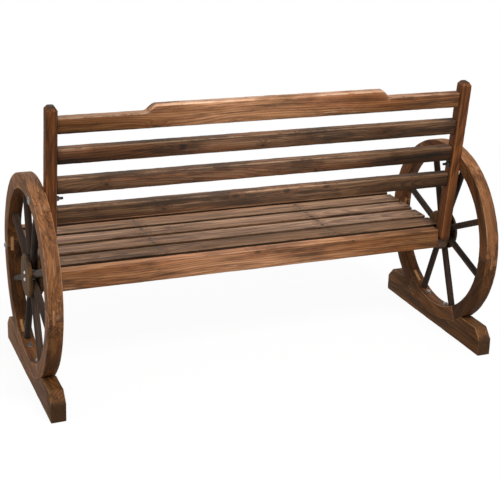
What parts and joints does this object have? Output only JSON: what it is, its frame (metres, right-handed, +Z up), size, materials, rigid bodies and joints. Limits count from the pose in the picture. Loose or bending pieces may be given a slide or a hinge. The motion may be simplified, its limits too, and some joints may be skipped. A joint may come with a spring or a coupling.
{
  "type": "garden bench",
  "caption": "Slatted garden bench with a leaning slatted back, carried at each end by a spoked wooden wagon wheel standing in a notched foot.",
  "frame": {"origin": "on the floor, at the middle of the bounding box's base, midway between the feet's rear ends and the front rail", "axes": "+X along the bench to the right seen from the front, -Y towards the front where a sitter looks, +Z up"},
  "size_m": [1.4212, 0.684, 0.8511],
  "materials": {
    "frame_wood": "burnt softwood, oiled reddish brown, satin",
    "back_slat_wood": "burnt softwood, dark grey-brown, satin",
    "seat_slat_wood": "burnt softwood, worn mid-brown, satin",
    "wheel_wood": "burnt softwood, olive-brown, satin",
    "spoke_wood": "burnt softwood, near black, satin",
    "foot_wood": "burnt softwood, dark brown, satin",
    "dowel_wood": "plain beech",
    "zinc_steel": "zinc-plated, slightly dulled",
    "black_steel": "black phosphated steel"
  },
  "bodies": {
    "root": {"spoke_right_1": "spoke_wood", "spoke_right_2": "spoke_wood", "spoke_right_3": "spoke_wood", "spoke_right_4": "spoke_wood", "spoke_right_5": "spoke_wood", "spoke_right_6": "spoke_wood", "spoke_right_7": "spoke_wood", "spoke_right_8": "spoke_wood", "felloe_right_1": "wheel_wood", "felloe_right_2": "wheel_wood", "felloe_right_3": "wheel_wood", "felloe_right_4": "wheel_wood", "felloe_right_5": "wheel_wood", "felloe_right_6": "wheel_wood", "hub_disc_inner_right": "wheel_wood", "hub_disc_outer_right": "wheel_wood", "foot_right": "foot_wood", "post_right": "frame_wood", "side_rail_right": "frame_wood", "cross_support_right": "frame_wood", "spoke_left_1": "spoke_wood", "spoke_left_2": "spoke_wood", "spoke_left_3": "spoke_wood", "spoke_left_4": "spoke_wood", "spoke_left_5": "spoke_wood", "spoke_left_6": "spoke_wood", "spoke_left_7": "spoke_wood", "spoke_left_8": "spoke_wood", "felloe_left_1": "wheel_wood", "felloe_left_2": "wheel_wood", "felloe_left_3": "wheel_wood", "felloe_left_4": "wheel_wood", "felloe_left_5": "wheel_wood", "felloe_left_6": "wheel_wood", "hub_disc_inner_left": "wheel_wood", "hub_disc_outer_left": "wheel_wood", "foot_left": "foot_wood", "post_left": "frame_wood", "side_rail_left": "frame_wood", "cross_support_left": "frame_wood", "crest_rail": "frame_wood", "back_slat_1": "back_slat_wood", "back_slat_2": "back_slat_wood", "back_slat_3": "back_slat_wood", "front_rail": "frame_wood", "rear_rail": "frame_wood", "seat_slat_1": "seat_slat_wood", "seat_slat_2": "seat_slat_wood", "seat_slat_3": "seat_slat_wood", "seat_slat_4": "seat_slat_wood", "bolts": "zinc_steel", "bolt_washers": "zinc_steel", "bolt_nuts": "zinc_steel", "foot_screws": "zinc_steel", "foot_washers": "zinc_steel", "hub_screws": "zinc_steel", "slat_screws": "black_steel", "back_screws": "black_steel", "seat_dowels": "dowel_wood"}
  },
  "joints": []
}
